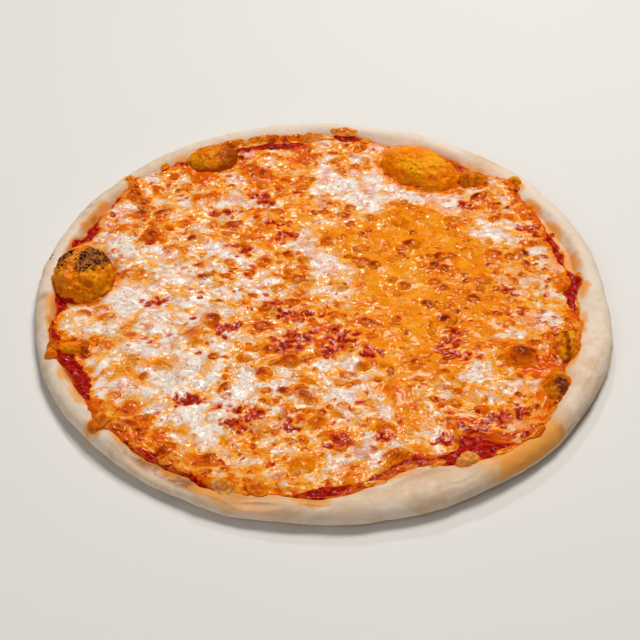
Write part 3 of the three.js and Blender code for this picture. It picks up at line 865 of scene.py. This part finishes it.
def makeTopping():
    chooser = np.random.default_rng(topping["seed"])
    # what is pressed into these bent maps gets ragged outlines
    near = warped(0.5, 3, 2, 15)
    frayed = warped(1.3, 5, 3, 17)
    melted = (mapX + 2.6 * cloud(mapX, mapY, 11, 3, 3) + 0.5 * cloud(mapX, mapY, 3.2, 2, 5),
              mapY + 2.2 * cloud(mapX, mapY, 11, 3, 4) + 0.5 * cloud(mapX, mapY, 3.2, 2, 6))
    border = [(*placeAt(distance, math.radians(at)), size) for at, distance, size in topping["paleBorder"]]
    thick = patches(*melted, [*topping["thickAt"], *border])
    oily = patches(*melted, topping["oilyAt"])
    calm = patches(*melted, topping["calmAt"])
    curds, amber, brown, rim, red, rise, soaked = (np.zeros_like(mapX) for _ in range(7))
    clusters = cloud(mapX, mapY, 17, 2, 884, stretch=1.3)
    bunched = clusters - 0.8 * calm

    def anywhere():
        distance = (pizza["toppingRadius"] + 4) * math.sqrt(chooser.random())
        x, y = placeAt(distance, chooser.random() * 2 * math.pi)
        return x, y, *(read(layer, np.array(x), np.array(y)) for layer in (thick, oily, bunched))

    # milky curds
    for _ in range(topping["curds"]):
        x, y, thickHere, oilyHere, clusterHere = anywhere()
        size = 1.5 + 3.4 * chooser.random() ** 1.7
        strength = 0.8 + 0.5 * thickHere - 0.3 * oilyHere - 0.3 * clusterHere
        strength = strength * (0.25 + 0.6 * chooser.random())
        stretch, turn = 1.2 + 0.7 * chooser.random(), 0.35 * chooser.normal()
        stamp(curds, melted, x, y, size, strength, stretch, turn, 1.2)
        stamp(rise, melted, x, y, size, 0.5 * strength, stretch, turn, 1.2)

    # browned blisters, kept apart
    spots = [(*spot, 1.0) for spot in topping["blisterAt"]]
    for _ in range(topping["browned"]):
        x, y, thickHere, oilyHere, clusterHere = anywhere()
        size = 0.9 + 2.7 * chooser.random() ** 2.2
        heat = min(chooser.random() ** 1.5 * 0.85 + 0.25 * max(clusterHere, 0), 1)
        clear = all((x - s[0]) ** 2 + (y - s[1]) ** 2 > (0.75 * (size + s[2])) ** 2 for s in spots)
        if clear and chooser.random() < 0.66 + 0.75 * clusterHere - 0.08 * thickHere:
            spots.append((x, y, size, heat, 1 + 0.6 * chooser.random()))
    domes = []
    for x, y, size, heat, stretch in spots:
        turn = 0.5 * chooser.normal()
        off = 0.3 * size * chooser.normal()
        domes.append((x, y, size, stretch, turn, 0.3))
        stamp(amber, near, x, y, size * 1.5, 0.65 + 0.5 * heat, stretch, turn)
        stamp(brown, near, x + off, y + 0.2 * size, size * 0.95, 1.15 * heat, stretch, turn, 0.8)
        ring(rim, near, x, y, size, 0.45 + 0.55 * heat, stretch, turn, chooser.random() * 6.3)
        stamp(rise, near, x, y, size * 1.1, 0.5 * size ** 0.7, stretch, turn, 1.3)
        if size > 1.8 and chooser.random() < 0.4:  # sunk in the middle
            side = chooser.random() * 6.3
            ring(rim, near, x + 0.1 * off, y, size * 0.45, 0.4 + 0.5 * heat, stretch, turn, side)
            stamp(brown, near, x, y - 0.1 * size, size * 0.5, -0.5 * heat, stretch, turn, 0.8, adds=True)
            stamp(rise, near, x, y, size * 0.5, -0.2 * size ** 0.7, stretch, turn, adds=True)

    # drips and soaked oil along the border
    def besideBorder(at, past):
        turn = math.radians(at)
        return *placeAt(float(sauceRim(np.array(turn))) + past, turn), turn + math.pi / 2

    for at, past, half, wide, lift, heat in topping["dripsAt"]:
        x, y, turn = besideBorder(at, past)
        stretch = half / wide
        stamp(amber, near, x, y, wide * 1.3, 0.55 + 0.6 * heat, stretch, turn, 0.6)
        stamp(curds, near, x, y, wide * 1.3, 0.55 - 0.3 * heat, stretch, turn, 0.5)
        stamp(brown, near, x, y, wide * 0.9, 1.1 * heat, stretch, turn, 0.8)
        ring(rim, near, x, y, wide, 0.1 + heat, stretch, turn, -math.pi / 2)
        domes.append((x, y, wide, stretch, turn, lift))
    for at, past, half, wide, strength in topping["soakedAt"]:
        x, y, turn = besideBorder(at, past)
        stamp(soaked, frayed, x, y, wide * 1.15, 1.2 * strength, half / wide, turn)

    # tears down to the sauce
    for x, y, size in topping["tornAt"]:
        for _ in range(int(8 + 3 * size)):
            tearX = x + 0.8 * size * chooser.normal()
            tearY = y + 0.5 * size * chooser.normal()
            tear = 0.7 + size * 0.25 * chooser.random()
            strength = 0.6 + 0.5 * chooser.random()
            stretch = 1.0 + 0.8 * chooser.random()
            stamp(red, near, tearX, tearY, tear, strength, stretch, 0.6 * chooser.normal(), 0.7)
    for _ in range(topping["tears"]):
        x, y, thickHere, oilyHere, clusterHere = anywhere()
        if chooser.random() > 0.75 * oilyHere + 0.45 * thickHere - 0.4 * clusterHere:
            size = 0.8 + 1.5 * chooser.random() ** 2
            strength = 0.3 + 0.6 * chooser.random()
            stretch = 1.2 + 0.8 * chooser.random()
            stamp(red, near, x, y, size, strength, stretch, 0.6 * chooser.normal(), 0.9)

    # cheese climbs the bubbles in the dough, browning as it does
    for _, _, x, y, half, wide, _, turn in bubbles["places"]:
        window, along, across = ovalAt((mapX, mapY), x, y, wide, half / wide, math.radians(turn))
        beyond = np.maximum(np.hypot(along, across) - 1, 0) * wide
        rise[window] += 0.9 * np.exp(-beyond / 0.8) - min(2.4, 0.16 * wide) * dab(beyond / 3)
        amber[window] = np.maximum(amber[window], 0.8 * dab(beyond / 1.5))
        brown[window] += 0.3 * np.exp(-beyond / 0.8)

    milk = 0.04 + 0.28 * thick - 0.16 * oily + 0.22 * cloud(*melted, 7, 3, 11, stretch=1.7) + curds
    milk = milk - 0.12 * clusters + 0.25 * calm
    lines = 1 - np.abs(cloud(*melted, 3.6, 3, 51, stretch=1.5)) / 0.1
    crease = smooth(lines) * smooth((cloud(mapX, mapY, 6, 2, 52) + 0.1) / 0.5)
    rise = rise + 0.12 * cloud(mapX, mapY, 2.6, 2, 31) + 0.22 * cloud(*melted, 6, 2, 33, stretch=1.4)
    rise = rise - 0.6 * smooth(red) - 0.12 * crease
    pink = cloud(mapX, mapY, 9, 3, 35, stretch=1.4) + 0.4 * cloud(mapX, mapY, 2.5, 2, 36)
    layers = {
        "milk": milk, "pink": pink, "amber": amber, "brown": brown, "rim": rim, "red": red, "oily": oily,
        "crease": crease, "tone": cloud(*melted, 8, 3, 25, stretch=1.3),
    }
    print(f"topping laid out: {len(domes)} blisters and drips")
    return layers, rise, soaked, domes


toppingLayers, toppingRise, soakedOil, blisterDomes = makeTopping()


def cheeseOver(x, y):
    # height of the cheese's upper side
    angle = np.arctan2(y, x)
    radius = np.hypot(x, y)
    edgeWidth = 8 + 3 * cloud(x, y, 12, 2, 91)
    inside = np.clip((cheeseRim(angle) - radius) / edgeWidth, 0, 1)
    ground = np.maximum(sauceTop(angle, radius), doughTop(angle, radius)) - 0.25
    full = cheeseUnder(angle, radius) + np.maximum(cheeseRelief(x, y) - 0.3 + read(toppingRise, x, y), 0.4)
    return between(ground, full, between(smooth(inside), np.sqrt(1 - (1 - inside) ** 2), 0.35))


# Cheese

cheese = {
    "across": 298,
    # noises: size in mm, detail, roughness, warp and how much longer along X
    "strands": (1.5, 4, 0.56, 0.6, 1.6),
    "blots": (3.4, 4, 0.6, 0.5, 1.3),
    "grain": (0.6, 4, 0.65),
    "shader": {
        "Subsurface Weight": 0.1, "Subsurface Scale": 0.001, "Subsurface Radius": (1.0, 0.5, 0.25),
        "Coat Weight": 0.4, "Coat Roughness": 0.15, "IOR": 1.4, "Specular IOR Level": 0.05,
    },
    # from bare orange melt to thick white curd
    "melt": [
        (0.0, tone(228, 92, 0)), (0.18, tone(240, 128, 2)), (0.34, tone(250, 158, 14)),
        (0.47, tone(252, 184, 76)), (0.6, tone(246, 188, 130)), (0.75, tone(244, 206, 172)),
        (0.93, tone(247, 236, 224)),
    ],
    "glaze": tone(254, 164, 8),
    "pink": tone(243, 150, 122),
    "amber": tone(240, 138, 4),
    "orange": tone(226, 106, 0),
    "rust": tone(186, 66, 8),
    "brown": tone(160, 58, 0),
    "dark": tone(80, 22, 2),
    "sauce": tone(154, 17, 2),
    "sauceLight": tone(226, 84, 34),
}


def discGrid(count):
    # a square grid laid over a disc so that its cells have one area; returns angle and share of the radius
    line = np.linspace(-1, 1, count)
    u, v = np.meshgrid(line, line)
    wide = np.abs(u) > np.abs(v)
    reach = np.where(wide, u, v)
    safe = np.where(reach == 0, 1, reach)
    turn = np.where(wide, math.pi / 4 * v / safe, math.pi / 2 - math.pi / 4 * u / safe)
    return np.arctan2(reach * np.sin(turn), reach * np.cos(turn)), np.abs(reach)


def cheeseMaterial():
    s = Shading("melted_cheese", cheese["shader"])
    strands = s.noise(*cheese["strands"])
    fine = s.noise(*cheese["grain"])
    blots = s.noise(*cheese["blots"])
    lace = s.threads(1.9, 0.06, 1.2, 1.5)
    wrinkles = s.product(s.threads(2.6, 0.035, 1.6, 1.4), s.mask(blots, 0.44, 0.54))
    dots = s.product(s.mask(s.ragged(s.cells(2.3), fine, 0.5), 0.27, 0.15), s.mask(blots, 0.45, 0.53))
    milk = s.sum(s.ragged(s.ragged("milk", strands, 1.8), fine, 0.35), "amber", -0.6)
    milk = s.sum(s.sum(s.ragged(milk, blots, 0.8), lace, 0.16), "tone", -0.1)
    s.colour = s.ramp(milk, -0.35, 1.1, cheese["melt"])
    pink = s.mask(s.ragged("pink", blots, 1.5), 0.25, 0.8, 0.42)
    s.lay(cheese["pink"], s.product(pink, s.mask(milk, 0.1, 0.5)))
    s.paint(cheese["glaze"], s.ragged("oily", blots, 2.0), 0.4, 1.0, 0.65)
    s.paint(cheese["amber"], s.ragged("amber", fine, 0.5), 0.45, 0.9, 0.5)
    s.lay(cheese["rust"], s.product(wrinkles, 0.6))
    s.lay(cheese["orange"], s.product(dots, 0.75))
    brown = s.ragged(s.ragged("brown", fine, 0.7), strands, 0.7)
    s.paint(cheese["orange"], brown, 0.15, 0.55, 0.7)
    s.paint(cheese["brown"], brown, 0.42, 0.8, 0.85)
    s.paint(cheese["dark"], brown, 0.8, 1.1, 0.85)
    s.paint(cheese["brown"], s.ragged("rim", fine, 0.6), 0.15, 0.7, 0.9)
    s.lay(cheese["brown"], s.product("crease", s.mask(fine, 0.4, 0.56, 0.7)))
    red = s.ragged(s.ragged("red", strands, 1.3), fine, 0.4)
    s.paint(cheese["sauceLight"], red, 0.06, 0.45, 0.85)
    s.paint(cheese["sauce"], red, 0.4, 0.85, 0.95)
    lumps = s.bump(s.noise(2.4, 2, 0.5, 0.4, 1.3), 0.16)
    folds = s.noise(1.5, 2, 0.5, 0.6, 1.6)
    pits = s.bump(s.sum(folds, wrinkles, -0.3), 0.3, lumps)
    return s.finish(s.range(milk, 0.4, 0.55), pits, lumps)


cheeseFinish = cheeseMaterial()


def toppingFields(x, y):
    return {name: read(layer, x, y) for name, layer in toppingLayers.items()}


def makeCheese():
    count = cheese["across"]
    angle, share = discGrid(count)
    edge = cheeseRim(angle)
    x = share * edge * np.cos(angle)
    y = share * edge * np.sin(angle)
    grid = np.arange(count * count).reshape(count, count)
    corners = [grid[:-1, :-1], grid[:-1, 1:], grid[1:, 1:], grid[1:, :-1]]
    faces = np.stack(corners, axis=-1).reshape(-1, 4).tolist()
    top = np.stack([x, y, cheeseOver(x, y)], axis=-1).reshape(-1, 3)
    border = np.concatenate([grid[0, :-1], grid[:-1, -1], grid[-1, :0:-1], grid[:0:-1, 0]])
    around = np.arctan2(top[border, 1], top[border, 0])

    def belowTop(angle, radius):
        return np.maximum(sauceTop(angle, radius), doughTop(angle, radius)) - 0.5

    rings = ringsOver(around, [cheeseRim(around) - inset for inset in (0.6, 3, 8, 14, 24)], belowTop)
    middle = pointAt(0, 0, cheeseUnder(np.array(0.0), np.array(10.0)) - 0.2)
    below, belowFaces = skinOver([top[border], *rings, middle])
    # the first ring is the border that the grid already has
    number = np.concatenate([border, len(top) + np.arange(len(below) - len(border))])
    faces += [[int(number[i]) for i in face] for face in belowFaces]
    points = np.concatenate([top, below[len(border):]])
    x, y, _ = points.T
    fields = toppingFields(x, y)
    pointAngle, pointRadius = polar(points)
    inset = cheeseRim(pointAngle) - pointRadius
    ragged = cloud(x, y, 6, 3, 95)
    fields["amber"] = np.maximum(fields["amber"], 0.65 * (1 - smooth((inset - 1 - 2.5 * ragged) / 3)))
    fields["brown"] = fields["brown"] + (0.3 + 0.3 * ragged) * (1 - smooth(inset / 1.4))
    return makePiece("cheese_layer", points, faces, cheeseFinish, "melted_cheese", fields, "melted_cheese")


# Browned blisters, finer than the cheese around them

def makeBlisters():
    chooser = np.random.default_rng(topping["seed"] + 1)
    skins = []
    for x, y, size, stretch, turn, rise in blisterDomes:
        drip = rise > 0.5
        if not drip and (size < 1.9 or math.hypot(x, y) > cheeseRim(np.array(math.atan2(y, x))) - size - 2):
            continue
        # more corners on the longer ones, within 200 000 triangles for them all
        angles = evenly(min(int(10 + 3.6 * size * stretch), 48))
        steps = min(int(5 + 1.2 * size * stretch), 13)
        wobble = 1 + 0.1 * np.sin(2 * angles + chooser.random() * 6)
        wobble = wobble + 0.07 * np.sin(3 * angles + chooser.random() * 6)
        shares = np.linspace(0, 1, steps + 1)[1:]
        # highest in the middle, just under the cheese at its foot
        lifts = rise * (1 - shares ** 2) ** 0.8 - 0.16 * shares ** 4
        if drip:
            lifts = (rise - 0.4) * (1 - shares ** 2) ** 0.6 + 0.4
        rings = [pointAt(x, y, rise)]
        for share, lift in [*zip(shares, lifts), (0.6, -0.6)]:
            u, v, height = ringOf(angles, size * share * wobble, lift).T
            u, v = turned(u * stretch, v, -turn)
            rings.append(np.stack([x + u, y + v, height], axis=-1))
        skins.append(skinOver([*rings, pointAt(x, y, -0.6)]))
    points, faces = joined(skins)
    x, y, lift = points.T
    lift = lift * (1 + 0.5 * cloud(x, y, 2, 2, 55)) + 0.1 * cloud(x, y, 1.2, 2, 56)
    points = np.stack([x, y, cheeseOver(x, y) + lift], axis=-1)
    return makePiece("browned_blisters", points, faces, cheeseFinish, "melted_cheese", toppingFields(x, y))


# Bubbles in the dough

def bubbleMaterial():
    s = Shading("blistered_dough", bubbles["shader"])
    mottle = s.noise(*bubbles["mottle"])
    fine = s.noise(*bubbles["grain"])
    folds = s.noise(*bubbles["creases"])
    s.colour = bubbles["gold"]
    s.paint(bubbles["orange"], s.noise(9, 3, 0.5), 0.4, 0.6)
    s.paint(bubbles["mustard"], s.ragged("mustard", mottle, 1.4), 0.3, 0.7)
    s.paint(bubbles["dough"], s.ragged("plain", fine, 0.4), 0.3, 0.8)
    s.lay(bubbles["brown"], s.product(s.threads(5, 0.03), s.mask(fine, 0.4, 0.6, 0.45)))
    s.paint(bubbles["strand"], s.ragged("pale", mottle, 0.8), 0.35, 0.75, 0.85)
    s.paint(bubbles["brown"], s.ragged("brown", mottle, 1.0), 0.25, 0.85, 0.9)
    s.paint(bubbles["ash"], s.ragged("char", mottle, 1.2), 0.5, 0.8, 0.85)
    pits = s.mask(s.sum(folds, fine, 0.35), 0.68, 0.6)
    s.lay(bubbles["char"], s.product(s.mask(s.ragged("char", mottle, 1.0), 0.3, 0.6), pits))
    s.paint(bubbles["char"], s.ragged("spots", fine, 1.0), 0.4, 0.7, 0.9)
    s.paint(sauce["red"], s.ragged("red", mottle, 0.8), 0.3, 0.7)
    lumps = s.bump(mottle, 0.9)
    return s.finish(s.range(mottle, 0.4, 0.6), s.bump(folds, 0.5, lumps), lumps)


def bubbleFields(kind, x, y, z):
    # how far each finish shows on a bubble; x and y are measured from its middle
    # foot: the lowest few mm of a bubble, painted browner on several of them: the bake where the cheese meets
    # it, and painted shade under its sides
    foot = smooth((11 - z) / 3)
    if kind == "charred":  # on its top and back, with a pale streak, and mustard below
        streak = dab((x + 5 - 0.3 * y) / 2.6) * smooth((z - 13) / 4)
        made = {
            "char": 0.76 * smooth((z - 12 + 0.5 * y) / 9) * (1 - 0.55 * streak),
            # browner towards the foot: its bake and painted shade under its sides
            "brown": 0.28 + 0.3 * smooth((10 - z) / 4),
            "pale": 0.6 * streak,
            "mustard": 0.45,
            "red": smooth((-y - 6) / 8) * smooth((2 - x) / 8) * smooth((12 - z) / 4),
        }
    elif kind == "golden":
        made = {
            "spots": scattered(x, y, bubbles["goldenSpots"]),
            "brown": 0.45 * smooth((x + y - 18) / 12) + 0.15 * smooth((12 - z) / 5),
            # a pale patch on its upper left: pale cheese with a painted highlight
            "pale": 0.8 * dab((x + 17) / 4, (y - 9) / 4),
        }
    elif kind == "browned":
        made = {"brown": 0.46 + 0.3 * smooth(x / 12) + 0.3 * foot}
    elif kind == "brown":
        made = {"brown": 0.55}
    elif kind == "underHook":
        # browner low down: its bake, and painted shade under the hook of drips
        made = {"mustard": 0.3, "brown": 0.15 + 0.5 * smooth((9.5 - z) / 2)}
    elif kind == "streaked":  # a dark streak down the right of it, a pale strand on the left
        made = {
            "mustard": -0.2,
            "brown": 0.34 + 0.3 * foot + 0.5 * dab((x + 1) / 1.4),
            "char": dab((x + 1.5) / 2.45, (y - 6) / 2.45) + 0.4 * dab((x - 2) / 1.2),
            "pale": 0.7 * dab((x + 5) / 2, (y + 1) / 5),
        }
    elif kind == "capped":  # a browned cap, a red ridge behind it
        cap = dab((x - 1) / 4.69, (y + 2) / 7.04)
        made = {
            "mustard": -0.2,
            "brown": 0.34 + 0.3 * foot + 0.7 * cap,
            "char": 0.62 * cap,
            "red": 0.8 * dab((x + 5) / 3, (y - 7) / 3),
        }
    else:
        made = {"plain": 0.9}
    return [made.get(name, 0) + np.zeros(len(x)) for name in bubbles["fields"]]


def makeBubbles():
    skins, fields = [], []
    floor = bubbles["floor"]
    for k, (kind, folds, x, y, half, wide, top, turn) in enumerate(bubbles["places"]):
        angles = evenly(max(48, int(half * 9)))
        full = bubbles["fullness"].get(kind, 1)
        rings = [pointAt(0, 0, 1)]
        for tilt in np.radians(np.linspace(0, 96, len(angles) // 3)[1:]):
            up = math.copysign(abs(math.cos(tilt)) ** full, math.cos(tilt))
            rings.append(ringOf(angles, math.sin(tilt) ** (0.5 + full / 2), up))
        ball, faces = skinOver([*rings, pointAt(0, 0, -0.1)])
        local = ball * (half, wide, top - floor)
        grain = local + 40 * k
        ragged = 1 + 0.06 * cloud3(grain, 11, 2, 71) - folds * np.abs(cloud3(grain, 5, 3, 72))
        ragged = ragged + (0.3 / half) * cloud3(grain, 1.6, 2, 73)
        u, v, rise = (local * ragged[:, None]).T
        u, v = turned(u, v, -math.radians(turn))
        height = np.clip(floor + rise, floor, top)
        skins.append((np.stack([x + u, y + v, height], axis=-1), faces))
        fields.append(bubbleFields(kind, u, v, height))
    fields = dict(zip(bubbles["fields"], np.concatenate(fields, axis=1)))
    return makePiece("dough_bubbles", *joined(skins), bubbleMaterial(), "dough", fields, "crust")


# Studio

studio = {
    "fieldOfView": 27,
    "elevation": 43.27,
    "distance": 704.5,
    "target": (-1.06, -21.6, 8),
    "sensor": 36,
    "floorHalf": 6.0,  # in metres
    "floor": tone(226, 224, 220),
    "floorLight": tone(232, 230, 227),
    # softboxes: place and side in metres, watts, colour
    "lamps": {
        "key": ((0.3, 0.5, 1.35), 0.5, 12.6, (1.0, 0.97, 0.93)),
        "fill": ((-0.7, -1.0, 0.9), 0.9, 4.2, (1.0, 0.99, 0.97)),
        "glint": ((-0.15, 1.5, 1.5), 0.16, 5.5, (1.0, 1.0, 1.0)),
    },
    "sky": (1.0, 0.98, 0.95, 1.0),
    "ambient": 0.13,
}


def makeStudio():
    scene = bpy.context.scene

    def put(name, data):
        thing = bpy.data.objects.new(name, data)
        scene.collection.objects.link(thing)
        return thing

    def aim(thing, place, forward):
        thing.location = place
        thing.rotation_euler = forward.to_track_quat("-Z", "Y").to_euler()

    elevation = math.radians(studio["elevation"])
    back = Vector((0, -math.cos(elevation), math.sin(elevation)))
    lens = bpy.data.cameras.new("camera")
    lens.sensor_width = studio["sensor"]
    lens.lens = studio["sensor"] / 2 / math.tan(math.radians(studio["fieldOfView"]) / 2)
    scene.camera = put("camera", lens)
    aim(scene.camera, Vector(studio["target"]) * mm + back * studio["distance"] * mm, -back)

    half = studio["floorHalf"]
    mesh = bpy.data.meshes.new("floor")
    corners = [(-half, -half, 0), (half, -half, 0), (half, half, 0), (-half, half, 0)]
    mesh.from_pydata(corners, [], [(0, 1, 2, 3)])
    s = Shading("pale_floor", {"Roughness": 0.75})
    s.colour = studio["floor"]
    s.lay(studio["floorLight"], s.noise(400, 2))
    mesh.materials.append(s.finish())
    floor = put("floor", mesh)

    for name, (place, side, watts, colour) in studio["lamps"].items():
        light = bpy.data.lights.new(name, "AREA")
        light.shape = "RECTANGLE"
        light.size = side
        light.size_y = side
        light.energy = watts
        light.color = colour
        aim(put(name, light), Vector(place), -Vector(place))
    world = bpy.data.worlds.new("studio")
    world.use_nodes = True
    sky = world.node_tree.nodes["Background"]
    sky.inputs["Color"].default_value = studio["sky"]
    sky.inputs["Strength"].default_value = studio["ambient"]
    scene.world = world
    scene.view_settings.view_transform = "Standard"
    scene.view_settings.look = "Medium High Contrast"
    print("studio set")


makeStudio()
makeCrust()
makeSauce()
makeCheese()
makeBlisters()
makeBubbles()
